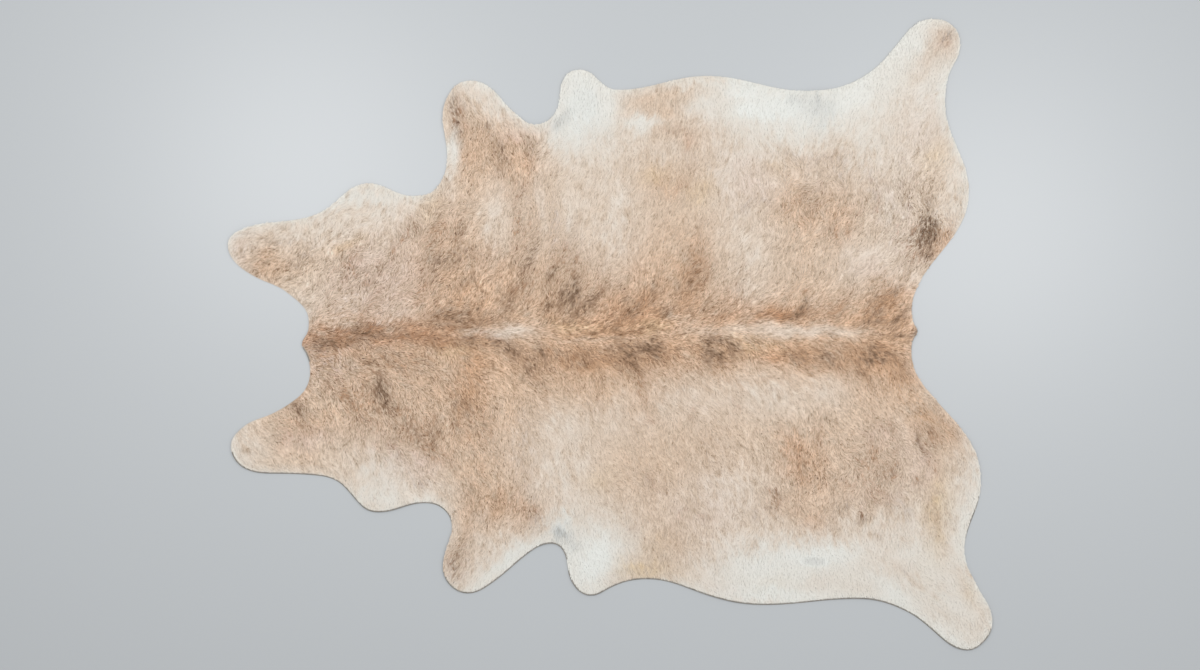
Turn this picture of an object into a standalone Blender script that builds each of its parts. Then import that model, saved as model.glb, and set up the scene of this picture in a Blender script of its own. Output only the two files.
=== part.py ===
"""A cowhide rug: one tanned cattle hide with its short hair on, lying flat with the hair side up.

The spine lies along X, with the neck at -X and the tail at +X. The underside rests on z = 0.
"""

from math import cos, radians, sin
from typing import NamedTuple

import bmesh
import bpy
from mathutils import Vector
from mathutils.geometry import interpolate_bezier

CM = 0.01
MM = 0.001

# Sizes of the hide, in metres
LEATHER = 2.5 * MM
COAT = 3.0 * MM
THICKNESS = LEATHER + COAT
ROUNDED_EDGE = 1.2 * MM

# How finely the edge and the two faces are divided
EDGE_STEP = 12 * MM
GRID_STEP = 50 * MM
HANDLE_SHARE = 0.37
WELD = 0.01 * MM
ON_GRID_LINE = 0.001 * MM
FACES_UP_OR_DOWN = 0.99
SHARP_ANGLE = radians(40)

HAIR_COLOUR = (0.62, 0.47, 0.36, 1.0)
HAIR_ROUGHNESS = 0.75


class Landmark(NamedTuple):
    """A point of the trimmed edge, in centimetres, and the way the edge runs there, in degrees from +X."""

    place: str
    x: float
    y: float
    heading: float


class Lift(NamedTuple):
    """A place where the hide stands off the floor: a soft oval bump, sizes in centimetres, height in mm."""

    place: str
    x: float
    y: float
    heading: float
    half_length: float
    half_width: float
    height: float


# The edge runs clockwise as seen from above, from the nape over the upper side to the tail and back.
UPPER_NECK = (
    ("nape", -88.7, -3.0, 90),
    ("nape shoulder", -87.3, 0.0, 58),
    ("hollow of the neck", -86.7, 3.8, 90),
    ("neck slope", -92.7, 11.9, 141),
    ("under the lobe", -102.5, 16.8, 151),
    ("lobe tip", -110.0, 26.0, 90),
    ("lobe turn", -105.0, 30.6, 21),
    ("lobe top", -92.0, 32.8, 8),
    ("shoulder slope", -80.0, 37.3, 39),
    ("shoulder bump", -69.5, 43.5, 0),
    ("armpit", -57.0, 39.9, 0),
)
UPPER_FORELEG = (
    ("leg root", -49.7, 42.4, 54),
    ("leg waist", -46.9, 51.0, 90),
    ("knee", -48.1, 62.8, 90),
    ("toe turn", -45.8, 70.0, 57),
    ("toe", -40.2, 73.1, 0),
    ("inner side", -31.4, 67.9, -51),
    ("inner slope", -26.4, 62.9, -39),
    ("elbow pit", -21.8, 60.4, 0),
)
UPPER_FLAP = (
    ("flap root", -16.2, 63.2, 54),
    ("flap side", -14.5, 68.0, 86),
    ("flap turn", -13.0, 74.1, 57),
    ("flap tip", -8.8, 76.2, 0),
    ("flap slope", -3.3, 73.2, -46),
    ("flap end", 2.5, 70.4, 0),
)
UPPER_BELLY = (
    ("belly", 28.0, 74.4, 0),
    ("flank", 56.5, 70.1, 0),
)
UPPER_HIND_LEG = (
    ("thigh", 75.0, 75.6, 36),
    ("shin", 82.3, 83.1, 51),
    ("toe", 92.8, 90.8, 0),
    ("toe turn", 99.4, 87.9, -52),
    ("heel", 100.7, 83.0, -90),
    ("hock", 97.6, 74.9, -110),
    ("back of the knee", 96.35, 67.0, -90),
    ("thigh back", 99.8, 53.9, -66),
    ("rump", 103.3, 41.0, -90),
    ("rump slope", 95.4, 23.8, -129),
    ("tail hollow", 86.75, 6.3, -90),
)
TAIL = (
    ("upper side of the tail", 87.6, 2.7, -62),
    ("end of the tail", 88.5, 1.0, -90),
    ("lower side of the tail", 87.4, -1.1, -116),
    ("lower tail hollow", 86.7, -5.0, -90),
)
LOWER_HIND_LEG = (
    ("rump slope", 92.6, -17.5, -49),
    ("rump turn", 102.1, -28.5, -54),
    ("rump", 106.7, -43.0, -90),
    ("back of the knee", 102.0, -62.3, -90),
    ("hock", 105.6, -72.2, -63),
    ("heel", 110.0, -82.8, -90),
    ("toe turn", 106.8, -89.1, -139),
    ("toe", 103.0, -90.8, 180),
    ("shin", 95.0, -87.0, 139),
    ("thigh", 85.0, -79.5, 154),
)
LOWER_BELLY = (
    ("flank", 71.0, -76.0, 180),
    ("belly", 45.0, -77.8, 180),
    ("belly slope", 25.0, -73.9, 160),
    ("belly end", 10.5, -70.4, 180),
)
LOWER_FLAP = (
    ("flap slope", 0.0, -72.9, -154),
    ("flap tip", -5.5, -75.1, 180),
    ("flap turn", -11.1, -70.9, 116),
    ("flap side", -12.5, -64.8, 100),
    ("elbow pit", -16.7, -60.1, 180),
)
LOWER_FORELEG = (
    ("inner slope", -25.0, -64.1, -141),
    ("inner side", -34.0, -71.5, -145),
    ("toe", -41.0, -74.5, 180),
    ("knee", -48.1, -67.0, 90),
    ("leg bend", -46.4, -59.7, 71),
    ("leg waist", -45.5, -55.8, 90),
    ("leg root", -48.0, -50.2, 141),
    ("armpit", -53.5, -48.5, 180),
)
LOWER_NECK = (
    ("shoulder bump", -66.5, -51.1, 180),
    ("shoulder turn", -71.6, -49.2, 135),
    ("shoulder slope", -76.3, -44.0, 134),
    ("lobe root", -84.0, -40.6, 174),
    ("lobe bottom", -97.0, -40.0, 179),
    ("lobe turn", -104.7, -38.7, 156),
    ("lobe tip", -109.1, -32.0, 90),
    ("lobe top", -105.7, -26.7, 41),
    ("lobe slope", -97.5, -22.9, 25),
    ("neck slope", -90.2, -18.4, 37),
    ("hollow of the neck", -86.3, -10.5, 90),
    ("nape shoulder", -87.5, -5.3, 114),
)
OUTLINE = (
    UPPER_NECK
    + UPPER_FORELEG
    + UPPER_FLAP
    + UPPER_BELLY
    + UPPER_HIND_LEG
    + TAIL
    + LOWER_HIND_LEG
    + LOWER_BELLY
    + LOWER_FLAP
    + LOWER_FORELEG
    + LOWER_NECK
)

LIFTS = (
    ("upper neck lobe", -106, 27, 20, 14, 9, 3.5),
    ("upper shoulder", -73, 41, 30, 14, 8, 3.0),
    ("upper knee", -47, 64, 90, 13, 8, 3.5),
    ("upper elbow pit", -21, 58, 90, 11, 9, 4.5),
    ("upper flap", -9, 74, 90, 10, 8, 3.0),
    ("upper belly", 16, 72, 8, 20, 8, 2.5),
    ("upper flank fold", 60, 67, 88, 13, 7, 6.0),
    ("upper hind toe", 95, 87, 55, 13, 9, 4.0),
    ("upper thigh", 97, 65, 90, 15, 8, 3.0),
    ("tail", 84, 1, 0, 14, 9, 4.0),
    ("lower rump", 103, -36, 60, 16, 9, 3.5),
    ("lower hind toe", 104, -86, 45, 14, 9, 4.5),
    ("lower flank", 72, -73, 0, 16, 8, 3.5),
    ("lower belly", 32, -73, -15, 18, 8, 3.0),
    ("lower flap", -7, -72, 90, 11, 8, 3.0),
    ("lower elbow pit", -18, -57, 90, 12, 9, 4.0),
    ("lower knee", -46, -66, 90, 13, 8, 4.0),
    ("lower shoulder", -67, -48, 0, 15, 8, 3.5),
    ("lower neck lobe", -105, -34, 0, 14, 9, 4.0),
    ("nape", -84, -3, 0, 12, 10, 3.0),
)

# The hair lies thickest along the spine.
SPINE_PILE = 1.0 * MM
SPINE_HALF_WIDTH = 9 * CM


def clear_scene():
    for old in list(bpy.data.objects):
        bpy.data.objects.remove(old, do_unlink=True)


def edge_points():
    """The trimmed edge: a smooth curve through the landmarks, divided about every EDGE_STEP."""
    marks = [Landmark(*row) for row in OUTLINE]
    points = []
    for here, there in zip(marks, marks[1:] + marks[:1]):
        start = Vector((here.x, here.y)) * CM
        end = Vector((there.x, there.y)) * CM
        reach = (end - start).length * HANDLE_SHARE
        leave = Vector((cos(radians(here.heading)), sin(radians(here.heading)))) * reach
        arrive = Vector((cos(radians(there.heading)), sin(radians(there.heading)))) * reach
        steps = max(2, round((end - start).length / EDGE_STEP))
        points += interpolate_bezier(start, start + leave, end - arrive, end, steps + 1)[:-1]
    return points


def flat_hide():
    """The hide as a flat slab with a slightly rounded edge, made from its outline as a filled 2D curve."""
    curve = bpy.data.curves.new("outline", "CURVE")
    curve.dimensions = "2D"
    curve.fill_mode = "BOTH"
    curve.extrude = THICKNESS / 2 - ROUNDED_EDGE
    curve.bevel_depth = ROUNDED_EDGE
    curve.bevel_resolution = 0
    curve.offset = -ROUNDED_EDGE
    points = edge_points()
    spline = curve.splines.new("POLY")
    spline.points.add(len(points) - 1)
    for target, point in zip(spline.points, points):
        target.co = (point.x, point.y, 0, 1)
    spline.use_cyclic_u = True
    outline = bpy.data.objects.new("outline", curve)
    bpy.context.scene.collection.objects.link(outline)
    graph = bpy.context.evaluated_depsgraph_get()
    mesh = bpy.data.meshes.new_from_object(outline.evaluated_get(graph))
    bpy.data.objects.remove(outline)
    return mesh


def lies_flat(edge):
    return all(abs(face.normal.z) > FACES_UP_OR_DOWN for face in edge.link_faces)


def divide(shape):
    """Gives each face of the slab a square grid, so that it can follow the lifts."""
    flat_edges = [edge for edge in shape.edges if lies_flat(edge)]
    bmesh.ops.dissolve_edges(shape, edges=flat_edges, use_verts=False)
    for axis in (0, 1):
        low = min(vertex.co[axis] for vertex in shape.verts)
        high = max(vertex.co[axis] for vertex in shape.verts)
        count = round((high - low) / GRID_STEP)
        normal = Vector((0, 0, 0))
        normal[axis] = 1
        for index in range(1, count):
            place = normal * (low + (high - low) * index / count)
            everything = shape.verts[:] + shape.edges[:] + shape.faces[:]
            bmesh.ops.bisect_plane(
                shape, geom=everything, dist=ON_GRID_LINE, plane_co=place, plane_no=normal
            )


def lift_at(x, y):
    """How far the hide stands off the floor at a place, in metres."""
    height = 0.0
    for row in LIFTS:
        lift = Lift(*row)
        turn = radians(lift.heading)
        across_x = x / CM - lift.x
        across_y = y / CM - lift.y
        along = (across_x * cos(turn) + across_y * sin(turn)) / lift.half_length
        aside = (across_y * cos(turn) - across_x * sin(turn)) / lift.half_width
        closeness = max(0.0, 1 - along**2 - aside**2)
        height += lift.height * MM * closeness**2
    return height


def pile_at(y):
    """How much thicker the coat lies near the spine, in metres."""
    return SPINE_PILE * max(0.0, 1 - (y / SPINE_HALF_WIDTH) ** 2) ** 2


def make_material():
    material = bpy.data.materials.new("hair")
    material.use_nodes = True
    shader = material.node_tree.nodes["Principled BSDF"]
    shader.inputs["Base Color"].default_value = HAIR_COLOUR
    shader.inputs["Roughness"].default_value = HAIR_ROUGHNESS
    shader.inputs["Metallic"].default_value = 0.0
    return material


def make_hide():
    mesh = flat_hide()
    mesh.name = "hide"
    shape = bmesh.new()
    shape.from_mesh(mesh)
    bmesh.ops.remove_doubles(shape, verts=shape.verts, dist=WELD)
    divide(shape)
    for vertex in shape.verts:
        x, y, z = vertex.co
        above_floor = z + THICKNESS / 2
        thicker = 1 + pile_at(y) / THICKNESS
        vertex.co.z = lift_at(x, y) + above_floor * thicker
    bmesh.ops.triangulate(shape, faces=shape.faces)
    bmesh.ops.recalc_face_normals(shape, faces=shape.faces)
    shape.to_mesh(mesh)
    shape.free()
    mesh.materials.clear()
    mesh.materials.append(make_material())
    mesh.shade_smooth()
    mesh.set_sharp_from_angle(angle=SHARP_ANGLE)
    return bpy.data.objects.new("hide", mesh)


def main():
    clear_scene()
    rug = bpy.data.collections.new("cowhide rug")
    bpy.context.scene.collection.children.link(rug)
    rug.objects.link(make_hide())


main()
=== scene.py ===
"""A cowhide rug: one tanned cattle hide with its short hair on, lying flat on a plain floor, seen from above.

The leather is a thin sheet on the folds of the CAD solid. The coat lies on it as flat locks of hair in
five strips. Where the edge faces -Y the coat stops short of it, and a dark ribbon on the leather there is
painted shadow under the edge.
Leather and coat take their colours from one chart of the markings, drawn in centimetres from the hide's
centre: +X runs to the tail and +Y to the upper side of the picture.
"""

import bmesh
import bpy
import numpy as np
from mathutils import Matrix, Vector
from mathutils.bvhtree import BVHTree
from mathutils.kdtree import KDTree


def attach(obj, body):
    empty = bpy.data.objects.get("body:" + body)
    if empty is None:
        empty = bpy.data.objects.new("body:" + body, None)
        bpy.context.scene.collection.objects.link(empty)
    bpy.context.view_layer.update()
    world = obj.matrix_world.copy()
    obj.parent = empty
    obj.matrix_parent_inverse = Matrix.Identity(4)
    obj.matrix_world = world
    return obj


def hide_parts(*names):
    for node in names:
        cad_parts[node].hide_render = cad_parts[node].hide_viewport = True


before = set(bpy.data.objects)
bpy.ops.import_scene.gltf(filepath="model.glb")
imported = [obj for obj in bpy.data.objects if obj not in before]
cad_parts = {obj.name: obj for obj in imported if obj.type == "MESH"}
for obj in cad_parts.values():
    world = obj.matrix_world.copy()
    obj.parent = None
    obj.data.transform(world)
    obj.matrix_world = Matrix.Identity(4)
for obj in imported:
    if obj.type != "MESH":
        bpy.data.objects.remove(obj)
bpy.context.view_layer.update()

CM = 0.01
MM = 0.001
SEED = 4127

# The photograph's frame on the floor: its width, and where its centre lies from the hide's centre
PHOTO_WIDTH = 1200 * 2.88 * MM
PHOTO_CENTRE = (-28.8 * MM, -1.4 * MM)
LENS = 50.0
SENSOR = 36.0

# Thickness of the leather, and how the coat lies on it
LEATHER = 2.5 * MM
SOLID_THICKNESS = 5.5 * MM
LOCK_SPACING = 3.2 * MM
LOCK_LENGTH = (10 * MM, 18 * MM)
SHORT_LOCK_LENGTH = (8 * MM, 13 * MM)
LOCK_WIDTH = (1.6 * MM, 2.6 * MM)
LOCK_CROWN = (1.3 * MM, 2.9 * MM)
LOCK_TIP = (0.5 * MM, 2.2 * MM)
OVERHANG = (0.6 * MM, 2.6 * MM)
HEADING_SCATTER = 0.30
ROOT_MARGIN = 0.7 * MM
STRIPS = 5
# Locks are shorter in a band along the edge, and one that would hang over it is cut to a share of its length
EDGE_BAND = 30 * MM
CUT_SHARES = (1.0, 0.85, 0.7, 0.55, 0.4, 0.3)
SHORTEST_SHARE = 0.2
# Painted shadow: where the lower half's edge faces -Y, the coat leaves this much leather free, and its roots
# stay back more, for a dark ribbon that stands in for the shadow under the edge
SHADOW_STRIP_WIDTH = 2.2 * MM
ROOTS_BACK = 1.8
# The dark ribbon of painted shadow there: millimetres in from the edge and above the leather, and the free
# share from which it is made
RIBBON = ((-0.3, -0.9), (0.7, 0.45), (4.0, 0.35))
RIBBON_FROM = 0.45

# The chart's grid
CELL = 2.0 * MM
HALF_X = 1.15
HALF_Y = 0.96

# Hair colours as they look in the photograph, red, green and blue from 0 to 255
COLOURS = {
    "white": (239, 240, 235),
    "pale": (232, 221, 208),
    "cream": (225, 206, 186),
    "pink": (223, 200, 185),
    "tan": (215, 185, 157),
    "yellow": (216, 189, 152),
    "caramel": (203, 163, 129),
    "red": (189, 143, 108),
    "brown": (160, 122, 91),
    "dark": (117, 90, 68),
    "grey": (172, 152, 138),
    "skin": (201, 203, 201),
}

# Heading of the hair, in degrees, against the distance from the spine in centimetres
FLOW_AWAY = (0, 1.5, 3, 6, 10, 20, 35, 50, 90)
FLOW_HEADING = (0, 12, 25, 40, 52, 64, 73, 79, 83)

# Where the hair turns from that rule: x, y, heading, reach in centimetres
FLOW_GUIDES = (
    (-104, 27, 38, 9), (-96, 22, 40, 12), (-82, 30, 55, 12), (-103, -34, -42, 9), (-94, -27, -42, 12),
    (-82, -32, -58, 12), (-42, 64, 101, 12), (-30, 56, 112, 9), (-42, -64, -100, 12), (-30, -56, -97, 10),
    (97, 80, 70, 16), (90, 62, 80, 16), (94, 36, 88, 14), (84, 8, 40, 10), (101, -80, -62, 18),
    (93, -34, -70, 16), (78, -24, -60, 16),
)

# Places where the hair is ruffled: x, y, radius in centimetres, swing in degrees
RUFFLES = (
    (-74, 12, 26, 15), (-62, -18, 26, 14), (57, 42, 13, 22), (77, -40, 13, 26), (-57, -29, 8, 18),
    (-47, 32, 8, 22), (58, -38, 9, 14), (88, 34, 8, 14),
)

# Each row of SOFT, SPINE and STREAKED is one marking: x, y, heading of its long side, half length, half width,
# strength in percent. The upper side comes first, then the lower side, both from the neck to the tail.
# A marking fades from its middle, to exp(-FADE) of its strength at its half length or half width.
FADE = 0.8
# White hair covers more than the other colours
WHITENESS = 1.15
# Soft markings are broad washes of one colour.
SOFT = {}
SOFT["tan"] = (
    (-104, 21, 30, 5, 2, 40), (-100, 20, 40, 8, 5, 55), (-96, 17, 20, 8, 3, 60), (-86, 18, 40, 14, 9, 10),
    (-70, 15, 60, 14, 12, 15), (-50, 30, 60, 13, 9, 70), (-48, 14, 20, 14, 8, 55), (-45, 16, 0, 10, 8, 25),
    (-45, 24, 60, 9, 6, 40), (-39, 60, 90, 8, 7, 38), (-36, 50, 0, 14, 12, 55), (-34, 20, 90, 18, 9, 40),
    (-30, 52, 0, 10, 8, 60), (-14, 16, 70, 14, 10, 50), (-10, 7, 0, 40, 10, 75), (-9, 55, 0, 4, 3, 35),
    (4, 0, 0, 30, 24, 25), (6, 18, 80, 17, 12, 55), (8, 48, 0, 12, 9, 22), (14, 66, 0, 13, 5, 45),
    (18, 44, 0, 10, 5, 30), (22, 20, 80, 16, 9, 52), (27, 56, 0, 12, 6, 42), (28, 8, 0, 40, 10, 60),
    (30, 58, 0, 6, 3, 30), (33, 59, 0, 6, 3, 30), (52, 24, 0, 14, 9, 22), (57, 38, 0, 15, 11, 50),
    (62, 47, 0, 10, 6, 14), (64, 20, 0, 14, 8, 30), (66, 6, 0, 26, 8, 45), (66, 33, 86, 8, 5, 35),
    (75, 13, 60, 6, 3, 30), (84, 36, 90, 14, 8, 5), (90, 79, 60, 6, 3, 80), (91, 22, 60, 7, 3, 60),
    (93, 48, 90, 12, 6, 12), (95, 85, 60, 4, 3, 40), (-105, -32, 0, 3, 3, 30), (-94, -33, 0, 5, 3, 35),
    (-94, -23, -20, 11, 7, 45), (-87, -36, 0, 5, 3, 45), (-82, -24, 0, 11, 6, 60), (-78, -10, 0, 14, 8, 45),
    (-70, -17, -60, 16, 12, 45), (-60, -30, 0, 8, 5, 40), (-52, -14, 0, 14, 13, 50),
    (-51, -34, 0, 9, 6, 40), (-43, -66, 90, 6, 5, 50), (-42, -48, 0, 3, 3, 70), (-40, -24, 90, 22, 14, 55),
    (-36, -44, 90, 10, 14, 45), (-30, -50, 0, 12, 8, 70), (-30, -23, 0, 4, 4, 40),
    (-30, -12, 0, 30, 12, 40), (-15, -18, 0, 16, 6, 35), (0, -7, 0, 42, 9, 85), (4, -70, 0, 4, 2, 80),
    (8, -70, 0, 6, 2, 75), (8, -46, 0, 14, 7, 30), (9, -24, 0, 5, 4, 80), (10, -34, 0, 26, 14, 25),
    (10, -17, 0, 5, 5, 40), (10, -14, 0, 34, 8, 50), (14, -58, 0, 16, 9, 45), (26, -65, 0, 6, 4, 30),
    (28, -34, 0, 22, 10, 28), (44, -61, 0, 4, 1.8, 70), (45, -6, 0, 44, 7, 80), (50, -48, 0, 9, 5, 40),
    (52, -12, 0, 30, 7, 40), (56, -36, -70, 12, 10, 52), (60, -52, 20, 8, 5, 42), (62, -57, 0, 4, 2.5, 70),
    (62, -11, 0, 9, 4, 40), (63, -58, 0, 4, 1.5, 30), (64, -34, 0, 5, 5, 30), (72, -22, 0, 14, 8, 25),
    (76, -48, 0, 7, 4, 40), (78, -52, 80, 6, 2.5, 35), (78, -34, -80, 16, 12, 38), (79, -50, 0, 5, 3, 40),
    (80, -10, -30, 14, 9, 60), (89, -43, 0, 5, 3, 30), (96, -26, -45, 12, 7, 70),
    (107, -86, -60, 4, 2.5, 25),
)
SOFT["pale"] = (
    (-106, 25, 0, 4, 3, 60), (-104, 30, 0, 6, 3, 45), (-88, 30, 10, 12, 4, 65), (-87, 8, 60, 8, 4, 25),
    (-70, 37, 0, 16, 7, 85), (-66, 25, 50, 12, 4, 20), (-60, 6, 0, 4, 2, 40), (-45.5, 51, 88, 8, 2, 100),
    (-44, 56, 90, 5, 1.5, 75), (-38, 68, 0, 9, 5, 85), (-33, 35, 90, 8, 3.5, 62), (-32, 25, 70, 6, 4, 30),
    (-32, 66, -48, 8, 2.5, 65), (-20, 37, 95, 9, 1.2, 45), (-12.5, 34, 95, 7, 1, 35),
    (-11, 34, 90, 10, 4, 40), (-4, 54, 0, 15, 8, 50), (1, 33, 90, 16, 8, 64), (7, 59, 90, 4, 2.5, 50),
    (17, 52, 0, 6, 3, 40), (17, 53, 0, 5, 2, 30), (36, 48, 70, 12, 8, 72), (40, 22, 90, 16, 7, 60),
    (40, 49, 0, 7, 4, 30), (43, 45, 90, 8, 5, 40), (43, 57, 0, 9, 3, 65), (45, 54, 0, 10, 5, 45),
    (50, 55, 0, 16, 4, 60), (60, 45, 0, 4, 4, 35), (68.5, 22, 90, 4, 1.5, 35), (70, 15, 0, 3, 3, 30),
    (75, 20, 0, 9, 7, 60), (76, 57, 70, 14, 10, 70), (81, 37, 90, 5, 3, 40), (83, 33, 90, 10, 4, 35),
    (84, 48, 60, 8, 6, 35), (84, 63, 0, 6, 6, 50), (88, 17, 60, 6, 3, 50), (88, 63, 80, 14, 8, 65),
    (91, 58, 70, 8, 5, 45), (91, 60, 0, 5, 4, 40), (92, 67, 75, 8, 3.5, 70), (93, 57, 80, 8, 4, 50),
    (96, 57, -75, 9, 3.5, 85), (100, 37, 80, 8, 3.5, 90), (100, 39, 85, 4, 3, 45), (101, 44, 90, 14, 4, 85),
    (-105, -34, 0, 5, 4, 100), (-65, -42, 0, 10, 8, 95), (-50, -46, -20, 8, 4, 60), (-42, -70, 0, 4, 2, 50),
    (-40, -68, 0, 4, 3, 60), (-38, -60, 0, 4, 2, 40), (-37, -53, 0, 2.5, 2, 45), (-34, -64, 35, 12, 5, 55),
    (-22, -46, 0, 3, 3, 50), (-15, -24, 0, 3, 3, 30), (-13, -41, 80, 11, 9, 72), (-13, -26, 0, 9, 6, 45),
    (2, -62, 0, 9, 9, 55), (3, -26, 0, 10, 5, 35), (3, -20, 90, 4, 2, 35), (15, -22, 0, 3, 3, 35),
    (20, -18, 0, 9, 7, 42), (24, -12, 0, 3, 2, 30), (32, -70, -15, 10, 5, 45), (32, -47, 20, 14, 8, 65),
    (36, -52, 0, 4, 3, 40), (38, -51, 0, 4, 2, 30), (44, -17, 0, 16, 6, 55), (47, -53, 0, 4, 2, 30),
    (50, -21, 0, 5, 4, 15), (52, -61, 0, 24, 5, 80), (63, -16, 0, 6, 4, 40), (67, -53, 0, 4, 3, 35),
    (82, -58, 0, 16, 8, 80), (84, -47, 20, 9, 4, 30), (85, -32, -80, 5, 2.5, 20),
    (92, -68, -60, 18, 9, 100), (102, -48, 85, 16, 5, 95), (104, -78, -60, 12, 5, 85),
    (108, -77, -60, 5, 3, 40),
)
SOFT["pink"] = (
    (-107, 25, 90, 6, 3, 40), (-73, 20, 60, 8, 5, 45), (-62, 14, 60, 11, 8, 45), (-28, 57, 0, 5, 2, 40),
    (40, 45, 0, 6, 6, 40), (75, 19, 0, 5, 4, 40), (92, 60, 70, 10, 7, 25), (-88, -31, 0, 7, 3, 45),
    (-54, -38, 0, 5, 3, 40), (28, -50, 0, 10, 8, 25), (36, -75, -15, 7, 3, 40), (78, -29, 0, 4, 3, 40),
    (90, -38, -70, 8, 4, 45),
)
SOFT["yellow"] = (
    (-76, 26, 10, 4, 1.6, 40), (-52, 38, 80, 5, 2.5, 35), (12, 3.2, 0, 10, 1.5, 40), (13, 46, 0, 5, 2, 35),
    (26, 41, 60, 4, 3, 40), (47, 48.5, 0, 3, 1.5, 35), (74, 14, 0, 5, 2.5, 10), (94, 52, 70, 5, 3, 35),
    (-45, -4, 0, 7, 2.5, 45), (-3, -43, 60, 4, 3, 25), (8, -68, -5, 7, 2.2, 80), (13, -66, 0, 3, 4, 20),
    (14, -61, 0, 7, 3, 25), (42, -3, 0, 7, 2.2, 55), (94, -55, 85, 13, 3, 40), (95, -49, 85, 5, 3, 50),
    (104, -74, -60, 4, 2, 40),
)
SOFT["caramel"] = (
    (-99, 20, 50, 5, 3, 30), (-68, 0, 0, 27, 4.5, 62), (-45, 14, 20, 10, 6, 18), (-43, 62, 95, 6, 1.8, 35),
    (-40, 10, 20, 11, 6, 48), (-40, 54, 85, 8, 3, 10), (-36, 24, 0, 5, 3, 25), (-30, 19, 70, 8, 5, 20),
    (-25, 51, 90, 7, 5, 30), (-10, 3.5, 0, 12, 3, 55), (8, 12, 60, 10, 7, 40), (10, 7, 0, 20, 4, 22),
    (14, 7, 0, 16, 5, 47), (18, 43, 0, 6, 2.5, 25), (24, 19, 78, 9, 3.5, 55), (30, 3, 0, 50, 2.2, 50),
    (32, 6, 10, 9, 3.5, 20), (50, 6, 0, 11, 3.5, 60), (57, 37, 0, 9, 6, 32), (67, 34, 86, 5, 3, 20),
    (74, 9, 60, 6, 3, 40), (79, 8, 10, 9, 6, 85), (84, 4, 0, 5, 4, 55), (85, 8, 70, 6, 2.5, 40),
    (96, 26, 60, 6, 1.6, 25), (97, 29, 60, 5, 2.5, 60), (97, 83, 70, 6, 4.5, 20), (-88, -15, 60, 4, 2, 40),
    (-87, -12, 60, 8, 3, 40), (-40, -50, 80, 9, 4, 20), (-39, -12, 80, 11, 5, 74), (-28, -9, 0, 6, 4, 20),
    (-27, -50, 0, 8, 4, 35), (-4, -7, 0, 17, 4, 85), (17, -61, 0, 8, 3.5, 12), (17, -6, 0, 6, 4, 60),
    (18, -8, 0, 6, 4, 28), (30, -8, 0, 3, 3, 28), (30, -4, 0, 9, 5, 45), (45, -5, 0, 6, 3, 45),
    (52, -37, 90, 4, 3, 35), (53, -6, 0, 4, 3, 35), (57, -37, -60, 8, 5, 35), (58, -40, 0, 6, 5, 15),
    (58, -6, -5, 14, 3.5, 50), (60, -53, 30, 6, 3, 28), (61, -43, 0, 5, 3, 20), (74, -7, -15, 12, 4.5, 65),
    (78, -5, 0, 4, 3, 70), (83, -10, -40, 7, 4, 52), (86, -4, 80, 8, 2.5, 40), (93, -26, -50, 9, 5, 30),
)
SOFT["red"] = (
    (-79, 25, 0, 3, 2, 12), (-67, 0.5, 0, 24, 2.4, 75), (-54, 3, 0, 9, 1.5, 18), (8, 6, 5, 11, 3.5, 42),
    (22.5, 56, 60, 2.6, 1.6, 35), (34, 5, 20, 4, 1.5, 30), (50, 5.5, 5, 7, 2, 60), (92, 25, 60, 4, 2, 25),
    (-82, -2.5, 0, 8, 3, 65), (-50, -1.5, 0, 12, 1.6, 40), (19, -60, 90, 4, 1.6, 10), (47, -7, 0, 4, 2, 35),
    (52, -50.5, 0, 3, 1.5, 10), (53, -35, -70, 6, 2.5, 25), (79, -47, -10, 5, 2, 25),
)
SOFT["white"] = (
    (-73, 39, 0, 6, 2, 40), (-67, 40, 0, 6, 2, 45), (-44.5, 54, 90, 4, 1.2, 50), (-16, 58, 60, 4, 2, 40),
    (-12, 57, 60, 5, 4, 30), (-8, 66, 86, 11, 9, 100), (-8, 74, 0, 5, 3, 60), (0, 66, 88, 8, 2.5, 50),
    (9, 60, 90, 3, 1.6, 55), (10, 62, 0, 5, 1.3, 50), (26, 73, 0, 12, 1.4, 35), (27, 65, 0, 4, 3, 30),
    (27, 67, 0, 4, 2, 35), (39, 70, -8, 10, 3, 85), (47, 65, 4, 16, 5.4, 100), (52, 59, 0, 12, 4, 25),
    (66, 67, 25, 14, 6.5, 75), (70, 72, 30, 5, 3, 50), (73, 57, 80, 5, 2, 15), (76, 57, 0, 5, 4, 30),
    (80, 74, 40, 12, 6, 50), (84, 86, 45, 8, 3, 50), (85, 86, 45, 8, 3, 20), (88, 84, 45, 8, 3, 65),
    (92, 72, 70, 8, 2.5, 40), (96, 72, 80, 8, 2, 45), (-104, -34, 0, 4, 3, 5), (-68, -42, -40, 5, 2, 30),
    (-66, -47, 0, 6, 2.5, 50), (-39.5, -0.5, 0, 2, 0.8, 15), (-29, -65, 38, 15, 2.5, 75),
    (-14, -55.5, 50, 4, 3, 75), (-12, -62, 60, 7, 3, 60), (-5, -65, 60, 11, 8, 95), (42, -66, 0, 6, 3, 40),
    (48, -75, 0, 13, 2.5, 85), (48, -70, 0, 20, 7, 75), (57, -63.8, 0, 13, 3, 70), (65, -64, 0, 5, 2, 40),
    (70, -72, -15, 14, 7, 28), (82, -75, -35, 9, 4, 70), (86, -62, 0, 4, 3, 35), (92, -67, -60, 6, 4, 35),
    (98, -88, -35, 8, 2.4, 60), (98, -50, 85, 8, 3, 15), (100, -80, -60, 10, 7, 40),
    (102, -54, 80, 12, 2.5, 40),
)

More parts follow.
